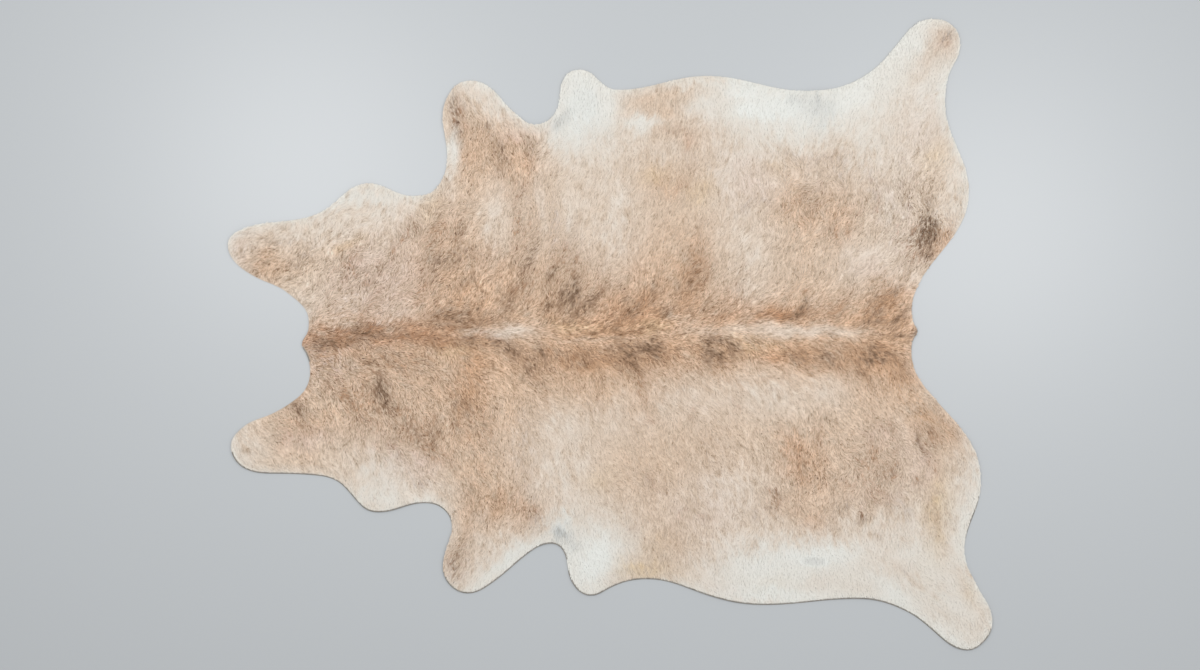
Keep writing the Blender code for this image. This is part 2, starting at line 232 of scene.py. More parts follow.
# The line of the spine is laid over the rest: light behind the shoulder and at the loin, caramel between
SPINE = {}
SPINE["caramel"] = (
    (-2, 0.3, 0, 19, 2.4, 75), (82, 0.2, 0, 7, 2.6, 60),
)
SPINE["yellow"] = (
    (-12, 3, 0, 6, 1.4, 35), (13, 2, 0, 4, 1.6, 45),
)
SPINE["cream"] = (
    (-77, 2.6, 5, 5, 1.2, 40), (-22, 1.5, 0, 5, 2.6, 45), (22, 0.5, 0, 6, 1, 20), (30, 1.5, 0, 6, 1.6, 30),
    (68, 1, 0, 9, 2, 28), (-6, -0.8, 0, 12, 0.7, 40),
)
SPINE["pale"] = (
    (-36, 0.6, 0, 3, 1.1, 20), (-29.5, 1, 0, 5, 1.7, 75), (-26, 0.8, 0, 4, 1.4, 30),
    (24, 3.4, 0, 3.5, 2.2, 20), (37, 1.2, 0, 7, 1.5, 20), (50, 0.4, 0, 4, 1.4, 20),
    (52, 0.9, 0, 11, 1.6, 52), (62, 1, 0, 8, 1.4, 45),
)
SPINE["brown"] = (
    (-2, 1.3, 0, 11, 0.4, 35), (6, 1.2, 0, 6, 0.5, 55),
)

# Brindle markings are broken into streaks along the hair.
STREAKED = {}
STREAKED["grey"] = (
    (-95, 27, 0, 5, 1, 30), (-74, 10, 60, 10, 7, 30), (-60, 16, 60, 14, 9, 22), (-25, 40, 70, 4, 2, 35),
    (-19, 36, 85, 7, 2, 5), (-16, 31, 87, 8, 1.3, 48), (-10.5, 30, 88, 7, 1.6, 5), (14, 52, 90, 3, 1.5, 12),
    (30, 47, 70, 6, 4, 10), (39, 37, 40, 4.5, 1, 50), (44.5, 39, 0, 2, 1, 35), (60, 50, 0, 10, 2.5, 14),
    (67, 49, 85, 5, 2, 25), (76, 42, 100, 6, 1.2, 40), (80, 38, 95, 12, 6, 10), (84, 30, 90, 9, 4, 12),
    (-80, -9, -35, 7, 4, 50), (-61, -34, -45, 3, 1.8, 50), (-54, -43, 0, 2, 1.8, 45),
    (-25, -34, 80, 8, 4, 30), (-24, -44, 70, 4, 3, 5), (10, -42, -45, 4, 3, 25), (30, -30, -70, 8, 5, 15),
    (42, -52.5, 80, 2, 1, 60), (67.5, -49, 40, 2.2, 1.2, 56), (77, -58.5, -50, 1.6, 0.8, 48),
    (84, -50, -60, 5, 2, 28), (97, -74, -60, 4, 1.2, 15),
)
STREAKED["brown"] = (
    (-101, 19, 45, 5, 3, 30), (-90, 21.5, 35, 8, 2.6, 16), (-86, 3, 40, 4, 3, 25),
    (-84, 15, 40, 6, 1.2, 25), (-81, 8, 50, 4, 2, 20), (-79, 12, 55, 5, 2.2, 20), (-78, 22, 55, 5, 3, 30),
    (-75, 17, 60, 9, 1.2, 30), (-74, 22, 60, 3.5, 2, 50), (-71, 14.5, 20, 2.5, 1, 60),
    (-71, 17.5, 20, 5, 2.2, 40), (-69, 7.5, 45, 5, 1.8, 45), (-66, 12, 60, 9, 1.4, 30),
    (-66, 20.5, 60, 3, 1.6, 50), (-62.5, 24.5, 80, 2.2, 1, 55), (-59.5, 13, 60, 5, 3.2, 15),
    (-59, 28, 70, 3.6, 2.4, 50), (-57, 17, 60, 3.5, 1.6, 22), (-56.5, 32, 80, 3, 2, 35),
    (-53.5, 13, 65, 5, 1.8, 45), (-53, 21, 80, 4, 1.2, 35), (-51.4, 26, 70, 4, 1.5, 50),
    (-50.5, 9, 80, 4, 1, 20), (-50, 29, 60, 4, 3, 40), (-48, 19, 60, 4, 4, 45), (-47, 33, 65, 6, 4, 26),
    (-44.5, 4.8, 3, 8, 2.9, 98), (-44.2, 62.5, 96, 5, 1.8, 85), (-43.5, 29, 85, 4, 2, 75),
    (-43, 14, 20, 5, 1.4, 40), (-40, 50, 80, 4, 3, 16), (-40, 56, 95, 9, 3, 16), (-39, 22, 0, 3, 2, 45),
    (-37.5, 3.2, 8, 5, 1.6, 45), (-31, 50, 105, 7, 3.2, 28), (-29.5, 7.5, 80, 2.6, 1.8, 75),
    (-27.5, 12, 50, 4, 1.7, 52), (-26.7, 31, 88, 8, 1.6, 55), (-26, 42, 60, 4, 1.6, 15),
    (-24.5, 17, 70, 4.5, 1.8, 62), (-24, 9.7, 0, 2, 1, 45), (-24, 55, 0, 4.5, 0.9, 47),
    (-23.5, 50, 90, 6, 1.8, 22), (-22.6, 30, 84, 7, 2.2, 40), (-21.5, 17.5, 50, 4, 2, 42),
    (-17.5, 9, 50, 5, 2.6, 75), (-17.3, 17, 50, 5, 1.6, 80), (-14.5, 8.4, 60, 4, 1.6, 45),
    (-14, 22, 75, 6, 2, 50), (-10.5, 18.5, 75, 5, 2.2, 60), (-9.8, 24, 88, 6, 1.3, 28),
    (-9.5, 6.8, 40, 3.4, 1, 55), (-6, 16, 60, 5, 3, 42), (-3.5, 11, 58, 5, 1.6, 58),
    (2.5, 13, 50, 3, 1.5, 35), (6, 1.2, 0, 9, 0.55, 30), (6, 7.5, 45, 4, 2.6, 65),
    (10, 47.5, 70, 3.5, 1, 15), (10.5, 9, 50, 5, 2.4, 65), (14.5, 45, 20, 3, 1.2, 15),
    (16.5, 6.2, 40, 2.2, 1, 55), (18, 59, 0, 3, 1.6, 40), (21, 42, 70, 4, 2.4, 12),
    (23, 12, 60, 4, 1.6, 35), (23, 50, 90, 5, 2, 18), (24, 8, 55, 5, 4, 12), (24, 18, 72, 7, 2.8, 65),
    (25.5, 28, 85, 4, 1.2, 5), (27.8, 15.5, 60, 3, 1.4, 65), (30, 10, 60, 5, 4, 20),
    (33, 5.2, 25, 4, 1.3, 45), (34.5, 12, 68, 5, 1.6, 40), (40, 4.6, 10, 3, 1, 45), (46, 7, 20, 3, 1.6, 50),
    (46.5, 48, 0, 2.4, 1.4, 35), (50, 37, 35, 5, 1.8, 30), (51, 10, 50, 5, 2, 25), (51.5, 52, 0, 2, 1, 20),
    (54, 42, 10, 6, 2.4, 24), (54.5, 22, 30, 2.5, 1.4, 10), (56, 50.6, 0, 2.4, 1, 25),
    (57, 12.5, 30, 1.6, 1, 45), (57, 34, 40, 6, 2, 24), (60, 7, 60, 3, 1.6, 40), (61, 43, 80, 5, 1, 30),
    (62.5, 50.6, 0, 3.5, 1, 18), (63.5, 31, 60, 3, 1.4, 28), (64, 7.5, 65, 4, 2.2, 60),
    (65.5, 28.5, 90, 3.5, 1, 56), (66.5, 39, 85, 4, 1, 12), (66.6, 7, 70, 5, 0.9, 50),
    (67, 29.6, 10, 3.5, 0.9, 48), (67, 44, 90, 5, 1.4, 10), (69.5, 33, 80, 4.5, 0.8, 48),
    (72, 35, 88, 6, 0.9, 35), (75, 6, 60, 5, 1.6, 30), (75.5, 44, 120, 2.5, 0.8, 40),
    (77.5, 36.5, 90, 4, 1, 40), (79.5, 43, 120, 3, 1.4, 24), (83, 30.5, 88, 5, 1, 32),
    (83.5, 42, 60, 3, 1.2, 22), (84.5, 50, 90, 2, 0.8, 25), (85.6, 38, 88, 5, 0.9, 30),
    (87.5, 21.5, 70, 2, 1, 36), (88, 28, 60, 4, 3.2, 68), (88, 35, 88, 5, 2.4, 10),
    (88, 44.5, 70, 2.6, 1.6, 44), (89, 24, 40, 5, 2.4, 48), (91, 38, 80, 3, 1.2, 10),
    (92, 44, 90, 3, 1.6, 20), (92.5, 79, 60, 4, 0.9, 12), (94, 41, 70, 4, 2, 15), (97, 86, 60, 3, 1.6, 48),
    (-97, -25, -20, 4, 2, 5), (-93, -30, 0, 4, 2, 40), (-91, -21, -70, 5, 3, 50),
    (-86, -27, -10, 6, 2.6, 35), (-78, -16, -40, 6, 3, 35), (-73, -20, -50, 5, 2.8, 80),
    (-71, -16, -40, 14, 9, 28), (-69, -8, -60, 4, 2, 45), (-67, -15, -75, 6, 3, 60),
    (-66, -32, -20, 10, 5, 28), (-64, -21, -25, 4, 1.8, 65), (-63.5, -7.5, -50, 4, 2, 65),
    (-61, -23, -50, 4, 2.2, 50), (-60, -9.5, -60, 2.5, 1.5, 55), (-58, -23, -45, 12, 8, 26),
    (-57, -29, -45, 5, 3.2, 30), (-56, -8, 0, 9, 4, 25), (-53, -9, -50, 7, 5, 38),
    (-52, -34, -60, 5, 3, 45), (-52, -28.5, -70, 4.5, 2, 35), (-50, -3, -5, 5, 1.2, 60),
    (-49.5, -27.5, -60, 3.5, 1.6, 45), (-48, -36, -30, 4, 3, 30), (-47, -2.6, -4, 4, 1.1, 40),
    (-43.8, -65, 69, 6, 2.4, 60), (-43.5, -24, 75, 5, 1.4, 50), (-41.5, -20.5, -60, 3, 1.8, 35),
    (-41, -14, 80, 9, 6, 30), (-40, -49, -85, 5, 2.4, 16), (-40, -30, -70, 4, 1.5, 40),
    (-36, -39, -80, 2.4, 1.4, 30), (-35, -28, -75, 7, 3, 40), (-35, -4.5, -40, 3, 1.4, 45),
    (-32.5, -49.5, -80, 5, 2.5, 31), (-27.5, -49.5, -80, 4, 1.8, 22), (-27.5, -6, -45, 4, 2, 60),
    (-24, -12.5, -60, 5, 3, 5), (-24, -8.5, -48, 5, 2.4, 45), (-22, -53, -80, 4, 2.2, 50),
    (-21, -13, -62, 5, 1.2, 32), (-19.5, -17.5, -80, 3, 0.8, 40), (-18.5, -9.5, -50, 3, 1.4, 50),
    (-17.5, -4.6, 0, 4, 1.2, 55), (-12, -11, -50, 9, 4, 15), (-9, -7, 0, 7, 3, 55),
    (-5.5, -7.5, -30, 4, 2.4, 55), (-3.6, -17, -78, 3.5, 1, 50), (3, -7.5, -40, 4, 3.5, 60),
    (6.5, -55.5, 60, 2, 1.2, 35), (8, -11, -58, 5, 2.4, 58), (9, -17, -80, 5, 1.2, 55),
    (12, -43, -60, 3, 1.6, 30), (12, -25.5, 0, 2, 1.2, 40), (12, -8.5, -50, 3.5, 2.2, 62),
    (16, -8, -60, 3, 1.4, 45), (19, -58, 0, 3, 1.2, 15), (19.5, -61.5, 0, 3, 1, 10),
    (21, -52, 50, 3, 1.6, 30), (24, -23, 60, 2.4, 1.2, 35), (24, -8, -50, 4, 2.4, 4),
    (28, -53, 0, 2.4, 1.2, 40), (33, -9, -60, 4, 2, 30), (36, -5, -20, 4, 2, 45), (37, -20, 85, 4, 1.2, 30),
    (47.3, -48, 50, 3, 1.4, 65), (48, -45.3, -20, 2.5, 1, 75), (51.5, -41, -10, 2.5, 0.9, 28),
    (51.8, -51, 0, 3, 1.2, 24), (53, -38.5, -50, 5, 2.2, 28), (53.5, -34, -75, 4, 1.4, 20),
    (55.5, -43, 0, 2.4, 1.1, 12), (56.5, -7, -45, 3.2, 2, 40), (60, -52, 40, 4, 1.4, 16),
    (60.5, -33, -65, 4, 1, 40), (60.5, -28, -85, 3.5, 1.2, 35), (61, -4.2, -20, 3, 1, 35),
    (63, -43, -35, 4, 1.4, 24), (63, -7, -50, 4, 3, 36), (67, -38, -70, 4, 1, 15),
    (67.5, -11.5, -62, 4, 1.2, 50), (69, -44, -50, 3, 1.4, 44), (72.3, -52.5, 80, 3, 1, 60),
    (72.5, -37.5, -60, 5.5, 2, 50), (73, -43, -60, 3, 1.6, 32), (73, -11, -50, 4, 2.4, 36),
    (74.5, -13.5, -60, 5, 1.6, 25), (75.5, -34.5, -70, 5, 1.4, 48), (76, -44, -40, 4, 1.6, 32),
    (77, -48, 0, 4, 2, 28), (77, -22, -60, 5, 2.4, 15), (78, -27, -60, 6, 2.2, 25),
    (78.5, -38, -75, 6, 1.8, 32), (80, -41, -20, 5, 1.8, 44), (81.5, -38, 60, 3, 1.8, 46),
    (81.5, -34, 10, 3, 1.2, 30), (82, -29, -60, 3.5, 1.2, 36), (82.5, -8.5, -45, 5, 2.6, 36),
    (84, -45, -60, 3, 1, 28), (84, -12.5, -45, 3, 1.4, 35), (85, -68.5, -40, 3, 0.7, 28),
    (88.5, -42, 60, 2.2, 1, 52), (90, -73, -40, 3.5, 0.7, 15), (91, -27, -70, 5, 2.6, 28),
    (92.5, -38, -60, 3, 1, 62), (92.5, -33, -70, 4, 1.6, 58), (94, -53, -60, 2, 1.2, 48),
    (94, -30, -60, 4, 3, 25), (94, -23, -75, 5, 1.6, 25), (99, -29, -60, 3, 1.2, 32),
)
STREAKED["dark"] = (
    (-88, 22, 45, 4, 1.2, 35), (-72, 2.2, 10, 3, 1, 20), (-71, 0.5, 0, 5, 1.1, 62),
    (-67, 2.6, 10, 3, 0.9, 45), (-60.5, 2, 0, 2.2, 0.6, 30), (-46, 22, 30, 6, 2, 55),
    (-45.2, 66.5, 100, 2.4, 1, 75), (-44.5, 4.8, 0, 5.5, 2, 50), (-43.8, 61, 97, 2.6, 0.8, 50),
    (-43, 30, 80, 2.5, 1.3, 45), (-35.2, 59, 88, 2.6, 1.1, 36), (-31.8, 47.8, 105, 2.6, 1, 25),
    (-31.8, 53.2, 118, 3, 1.2, 62), (-31, 61, 85, 1.2, 0.6, 23), (-29.6, 7.2, 80, 1.6, 1.2, 50),
    (-28.6, 10.8, 50, 2, 1, 40), (-23, 22.5, 65, 4, 1.5, 55), (-23, 52, 90, 3, 0.8, 12),
    (-18.2, 7.8, 40, 2.2, 1.2, 45), (-17, 17.2, 50, 3, 1, 50), (-14, 10.4, 60, 3.4, 1.4, 30),
    (-11, 11.6, 75, 3.6, 2.2, 100), (-10.4, 14, 80, 2.6, 1.6, 28), (-6.8, 8.6, 48, 4, 1.1, 55),
    (-4.2, 9.6, 55, 2.6, 1.2, 50), (16.5, 6.2, 40, 1.6, 0.8, 50), (24, 16.5, 65, 3, 1.4, 25),
    (53, 5.4, 10, 3.5, 1.1, 60), (55.4, 42.6, 0, 1.8, 0.8, 21), (55.5, 7.6, 50, 3, 1.3, 85),
    (56.6, 40.5, 80, 3, 0.9, 26), (57, 46, 60, 1.5, 0.9, 8), (59.5, 39.5, 62, 3, 1.5, 30),
    (66.8, 47, 90, 2, 0.8, 12), (75, 5.2, 50, 2.6, 1, 30), (78, 4, 0, 4, 0.9, 45),
    (78.5, 9, 55, 5, 2.6, 36), (81.5, 12.2, 42, 3.4, 0.7, 45), (83, 0.1, 0, 5, 0.4, 75),
    (84, 5.6, 40, 3, 0.8, 75), (85.6, 37.5, 85, 3, 0.6, 28), (87.6, 28.4, 20, 2.4, 1.4, 60),
    (88, 1.4, 60, 1, 0.8, 80), (91.2, 26.5, 80, 3, 2, 100), (91.3, 36.5, 80, 2.6, 1, 12),
    (91.4, 30, 86, 4.8, 1.9, 135), (92, 24, 80, 2, 0.9, 60), (97, 86.5, 50, 1.6, 0.9, 50),
    (-92, -19.5, -60, 2.4, 1.4, 28), (-89, -22, -50, 2, 1.2, 55), (-81.5, -2.8, -20, 2, 1, 50),
    (-78, -2.8, 5, 6, 1.3, 90), (-66, -0.6, 0, 3, 0.5, 70), (-65.4, -17, -75, 4.6, 1.9, 95),
    (-63.5, -20.6, -20, 2.4, 1, 50), (-58, -0.2, 0, 5, 0.4, 45), (-56.8, -27.6, -40, 2.8, 1.2, 30),
    (-52.2, -29, -72, 3, 1, 35), (-50, -1.2, 0, 3, 0.5, 35), (-49.4, -28, -60, 2, 0.9, 30),
    (-44.2, -66, 69, 3.2, 1, 42), (-42.6, -62, 69, 2.4, 0.8, 27), (-41.4, -20.4, -60, 1.8, 1, 30),
    (-39.6, -2.8, -10, 2.6, 1.5, 55), (-31, -2.7, -25, 4, 1.7, 85), (-27.4, -5.6, -45, 3, 1.6, 50),
    (-23.6, -11, -60, 1.8, 1, 45), (-22, -9, -55, 3, 1.2, 50), (-19.8, -5, -70, 3, 1.2, 75),
    (-6.5, -7.6, -30, 2.4, 1.6, 30), (0.5, -4.6, -40, 1.6, 0.9, 45), (1.6, -8.6, -40, 2.4, 1.6, 35),
    (5, -5, -75, 3.4, 1.5, 100), (7, -8.2, -58, 4, 2.2, 42), (9.5, -3.8, 0, 5, 1.4, 92),
    (13, -3.6, 80, 3, 1.7, 95), (28, -3, 80, 2.8, 1.8, 82), (28.3, -8.4, -70, 2, 1.2, 45),
    (31.5, -6.2, 0, 4, 1.8, 68), (34, -2.4, -25, 3.6, 1.1, 75), (46, -49.6, 0, 1.2, 0.6, 40),
    (48, -45.2, -20, 1.4, 0.6, 40), (53.5, -6.6, -30, 3.2, 1.3, 42), (55.5, -6.5, 0, 1.4, 1.2, 45),
    (60.4, -32, -68, 2.8, 0.7, 12), (62.5, -6.6, -50, 2.6, 1.6, 42), (64.5, -0.6, -5, 1.5, 0.5, 55),
    (65, -41, -32, 2.6, 0.7, 26), (68, -4.2, -20, 2.4, 0.9, 30), (70.4, -8.4, -45, 4.4, 1.5, 15),
    (72.5, -53, 80, 1.6, 0.7, 34), (72.6, -10.6, -30, 2, 0.9, 30), (75.5, -0.7, 0, 2, 0.4, 15),
    (77, -6.2, 0, 3.6, 2.2, 100), (82, -38.6, 60, 1.8, 1, 38), (83, -9, -45, 3, 1.2, 26),
    (89.6, -32, -74, 4, 0.8, 50), (91.6, -28.5, -60, 2.4, 1, 2), (93, -29.5, -50, 3, 1.6, 2),
)

# A painted highlight along the trimmed edge, where the hair is painted paler: width, share and colour, and
# where it stays tan to the edge
EDGE_HIGHLIGHTS = (
    (32 * MM, 0.50, "white"),
    (7 * MM, 0.30, "white"),
)
TAN_TO_THE_EDGE = (
    (-105, 20, -45, 4, 3, 70), (-98, 16, 30, 10, 5, 85), (-47, 44, 50, 5, 5, 60), (-47, 65, 90, 8, 4, 98),
    (20, 73, 0, 18, 3, 50), (90, 12, 70, 20, 10, 85), (94, 24, 60, 10, 8, 90), (-100, -26, 35, 8, 3, 70),
    (-98, -24, -30, 8, 5, 60), (-90, -16, 60, 8, 4, 80), (-90, -2, 90, 24, 14, 95),
    (-82, -41, 0, 10, 2.5, 60), (-47, -65, 90, 6, 4, 80), (-45, -52, 80, 8, 3, 60), (7, -71, 0, 9, 4, 90),
    (88, -8, -70, 14, 5, 80), (96, -24, -50, 12, 8, 70),
)

# How strong the fine streaks are: a share in percent for all the hide, then x, y, heading, half length, half
# width and the share there
STREAKS_ELSEWHERE = 65
STREAKINESS = (
    (-78, 5, 0, 34, 34, 150), (-45, 25, 70, 30, 16, 110), (-50, -25, 0, 22, 20, 110),
    (-25, 52, 0, 10, 12, 100), (-30, -50, 0, 12, 12, 100), (0, 3, 0, 110, 14, 115),
    (62, 34, 0, 22, 18, 100), (88, 34, 90, 18, 9, 140), (62, -36, 0, 26, 18, 105),
)
# How much each kind of streak lightens or darkens the hair
FINE_SHADE = 0.17
MIDDLE_SHADE = 0.08
LONG_SHADE = 0.035
MOTTLE_SHADE = 0.05
SHADE_SHIFT = 0.035
# Dark hair is warmer than light hair: how strongly red, green and blue follow a streak
STREAK_TINT = np.array([0.82, 1.0, 1.20])

# An old scar: x, y, heading, half length, half width. Its grey inside, and its white rim's radius and width
SCARS = ((58.8, -65.4, -3, 3.2, 1.15),)
SCAR_INSIDE = 0.34
SCAR_RIM = (1.15, 0.20)
# Stains in the white hair: colour, then a marking's row
STAINS = (
    ("yellow", 48, -72, 5, 5, 3, 13), ("tan", 59, -71.5, 10, 5, 2.4, 16),
)
# Places where the hair is thin and the grey skin shows
THIN_HAIR = (
    (-14.5, -57.7, 0, 2.5, 2.4, 85), (-11, -61, 50, 2, 1.2, 35), (-15, 62, 60, 3.2, 2, 55),
    (-8, 65, 86, 8, 6, 15), (58, 66, 15, 4, 2.4, 30), (62, 64.5, 60, 4, 2.2, 25),
    (59.5, 68.6, 86, 2.6, 0.6, 60), (54.5, 68, 40, 2.6, 1.2, 35),
)


def linear(colour):
    """The light of a colour given from 0 to 255."""
    value = np.array(colour, float) / 255
    low = value / 12.92
    high = ((value + 0.055) / 1.055) ** 2.4
    return np.where(value <= 0.04045, low, high)


def rng(number):
    return np.random.default_rng(SEED + number)


# The grid: X and Y are each cell's place in metres
xs = np.arange(-HALF_X, HALF_X, CELL)
ys = np.arange(-HALF_Y, HALF_Y, CELL)
X, Y = np.meshgrid(xs, ys)


def sample(field, x, y, cell=CELL):
    """The field's value at places in metres, straight between its cells."""
    column = np.clip((x + HALF_X) / cell, 0, field.shape[1] - 1.001)
    row = np.clip((y + HALF_Y) / cell, 0, field.shape[0] - 1.001)
    c = column.astype(int)
    r = row.astype(int)
    u = column - c
    v = row - r
    if field.ndim == 3:
        u = u[..., None]
        v = v[..., None]
    near = field[r, c] * (1 - u) + field[r, c + 1] * u
    far = field[r + 1, c] * (1 - u) + field[r + 1, c + 1] * u
    return near * (1 - v) + far * v


def blur(field, size):
    """The field softened over a size in metres."""
    across = np.fft.rfftfreq(field.shape[1], CELL)[None, :]
    down = np.fft.fftfreq(field.shape[0], CELL)[:, None]
    soften = np.exp(-2 * (np.pi * size) ** 2 * (across**2 + down**2))
    return np.fft.irfft2(np.fft.rfft2(field) * soften, field.shape)


def even(field):
    """The field with mean 0 and spread 1."""
    return (field - field.mean()) / field.std()


def cloud(number, size):
    """Smooth noise with features of a size in metres."""
    return even(blur(rng(number).standard_normal(X.shape), size))


def hair_heading():
    """The heading of the hair in every cell, in radians."""
    away = np.abs(Y) / CM
    heading = np.radians(np.interp(away, FLOW_AWAY, FLOW_HEADING)) * np.sign(Y)
    fx = np.cos(heading)
    fy = np.sin(heading)
    for x, y, turned, reach in FLOW_GUIDES:
        far = np.hypot(X / CM - x, Y / CM - y) / reach
        weight = np.exp(-0.7 * far**3)
        fx += weight * (np.cos(np.radians(turned)) - fx)
        fy += weight * (np.sin(np.radians(turned)) - fy)
    heading = np.arctan2(fy, fx)
    heading += np.radians(6) * cloud(1, 4 * CM)
    heading += np.radians(12) * cloud(2, 1.2 * CM)
    swing = cloud(3, 1.1 * CM)
    for x, y, radius, angle in RUFFLES:
        far = np.hypot(X / CM - x, Y / CM - y) / radius
        heading += np.radians(angle) * swing * np.exp(-0.7 * far**3)
    return heading


heading = hair_heading()
flow_x = np.cos(heading)
flow_y = np.sin(heading)


def streaks(number, width, length):
    """Noise drawn out along the hair: streaks of a width and length in metres."""
    noise = even(blur(rng(number).standard_normal(X.shape), width / 2))
    total = noise.copy()
    steps = int(length / 2 / CELL)
    for way in (1, -1):
        x = X.copy()
        y = Y.copy()
        for step in range(steps):
            fx = sample(flow_x, x, y)
            fy = sample(flow_y, x, y)
            x += way * CELL * fx
            y += way * CELL * fy
            total += sample(noise, x, y) * np.cos(np.pi / 2 * (step + 1) / (steps + 1))
    return even(total)


fine_streaks = streaks(11, 2.6 * MM, 10 * MM)
middle_streaks = streaks(12, 6 * MM, 26 * MM)
long_streaks = streaks(13, 14 * MM, 90 * MM)
mottle = cloud(14, 12 * MM)

# The markings' edges wander, and run out along the hair in tongues
tongue = (0.35 * fine_streaks + 0.45 * middle_streaks + 0.35 * long_streaks) * CM
chart_x = X + tongue * flow_x + 0.5 * CM * cloud(21, 2.2 * CM) + 0.25 * CM * cloud(22, 0.8 * CM)
chart_y = Y + tongue * flow_y + 0.5 * CM * cloud(23, 2.2 * CM) + 0.25 * CM * cloud(24, 0.8 * CM)


def marking(x, y, turned, half_length, half_width, strength, wander=1.0, reach=2.6):
    """The window of cells that one marking touches, and its strength in them."""
    span = (max(half_length, half_width) * reach + 3) * CM
    c0, c1 = np.searchsorted(xs, (x * CM - span, x * CM + span))
    r0, r1 = np.searchsorted(ys, (y * CM - span, y * CM + span))
    window = (slice(r0, r1), slice(c0, c1))
    dx = (X[window] + wander * (chart_x[window] - X[window])) / CM - x
    dy = (Y[window] + wander * (chart_y[window] - Y[window])) / CM - y
    cos = np.cos(np.radians(turned))
    sin = np.sin(np.radians(turned))
    along = (dx * cos + dy * sin) / half_length
    across = (dy * cos - dx * sin) / half_width
    return window, strength / 100 * np.exp(-FADE * (along**2 + across**2))


def tan_share(light):
    """How tan the hair is, from near 0 where it is white to 1: the tan hair is the streakiest."""
    return np.clip((0.80 - light[..., 1]) / 0.40, 0.05, 1.0)


def dark_tails(noise):
    """Noise with few strong dark streaks and many weak light ones."""
    return (1 - np.exp(-0.5 * noise)) / 0.5


def lay(colours, window, strength, colour):
    """Mixes a colour into the chart."""
    share = np.clip(strength, 0, 1)[..., None]
    colours[window] += share * (linear(COLOURS[colour]) - colours[window])


def streakiness():
    """How strong the fine streaks are: most on the neck and the back, least on the belly."""
    strength = np.full(X.shape, STREAKS_ELSEWHERE / 100)
    for row in STREAKINESS:
        window, share = marking(*row[:5], 100)
        strength[window] += share * (row[5] / 100 - strength[window])
    return strength


def hair_colours():
    """The colour of the hair in every cell, as light, with a painted highlight along the trimmed edge."""
    colours = np.zeros(X.shape + (3,)) + linear(COLOURS["cream"])
    for name in ("tan", "pale", "pink", "yellow", "caramel", "red"):
        for row in SOFT[name]:
            window, strength = marking(*row)
            strength = strength * (1 + 0.22 * middle_streaks[window] + 0.18 * mottle[window])
            lay(colours, window, strength, name)
    for name in ("caramel", "yellow", "cream", "pale", "brown"):
        for row in SPINE[name]:
            window, strength = marking(*row)
            lay(colours, window, strength, name)
    strokes = 0.85 * fine_streaks + 0.35 * middle_streaks
    for name, ground in (("grey", 0.45), ("brown", 0.45), ("dark", 0.70)):
        broken = np.clip(ground + strokes, 0.05, 2.0)
        for row in STREAKED[name]:
            window, strength = marking(*row, wander=0.55)
            lay(colours, window, strength * broken[window], name)
    for row in SOFT["white"]:
        window, strength = marking(*row)
        lay(colours, window, strength * WHITENESS, "white")
    for name, *row in STAINS:
        window, strength = marking(*row)
        lay(colours, window, strength, name)
    # Fine streaks: strongest in the tan hair and faint in the white
    tanned = tan_share(colours) * rough
    change = FINE_SHADE * fine_streaks + MIDDLE_SHADE * dark_tails(middle_streaks)
    change += LONG_SHADE * long_streaks + MOTTLE_SHADE * mottle + SHADE_SHIFT
    colours *= np.exp((tanned * change)[..., None] * STREAK_TINT)
    for row in THIN_HAIR:
        window, strength = marking(*row)
        lay(colours, window, strength, "skin")
    for row in SCARS:
        window, closeness = marking(*row, 100, wander=0.0)
        radius = np.sqrt(-np.log(np.maximum(closeness, 1e-6)) / FADE)
        at, width = SCAR_RIM
        lay(colours, window, SCAR_INSIDE * np.clip(3 * (at - radius), 0, 1), "skin")
        lay(colours, window, 0.90 * np.exp(-(((radius - at) / width) ** 2)), "white")
    # A painted highlight: a paler rim along the trimmed edge
    for width, share, name in EDGE_HIGHLIGHTS:
        rim = np.clip(1 - edge / width, 0, 1) * np.clip(share + 0.10 * middle_streaks, 0, 0.9)
        for row in TAN_TO_THE_EDGE:
            window, strength = marking(*row)
            rim[window] *= 1 - strength
        colours += rim[..., None] * (linear(COLOURS[name]) - colours)
    return np.clip(colours, 0.01, 0.95)


def thin_hair():
    """How bare the leather is, from 0 to 1."""
    bare = np.zeros(X.shape)
    for row in THIN_HAIR:
        window, strength = marking(*row)
        bare[window] = np.maximum(bare[window], strength)
    return bare


# The solid under it all: where it is, how high its underside lies and how far the edge is
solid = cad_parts["hide"]


def solid_tree():
    shape = bmesh.new()
    shape.from_mesh(solid.data)
    tree = BVHTree.FromBMesh(shape)
    shape.free()
    return tree


def underside():
    """Which cells lie in the hide, and the height of its underside, softened over the facets."""
    tree = solid_tree()
    inside = np.zeros(X.shape)
    height = np.zeros(X.shape)
    up = Vector((0, 0, 1))
    every = 2
    for r in range(0, len(ys), every):
        for c in range(0, len(xs), every):
            hit = tree.ray_cast(Vector((xs[c], ys[r], -0.1)), up)[0]
            if hit is not None:
                inside[r : r + every, c : c + every] = 1
                height[r : r + every, c : c + every] = hit.z
    around = blur(inside, 14 * MM)
    soft = blur(height * inside, 14 * MM) / np.maximum(around, 1e-4)
    return inside, np.where(around > 1e-3, np.maximum(soft, 0), 0)


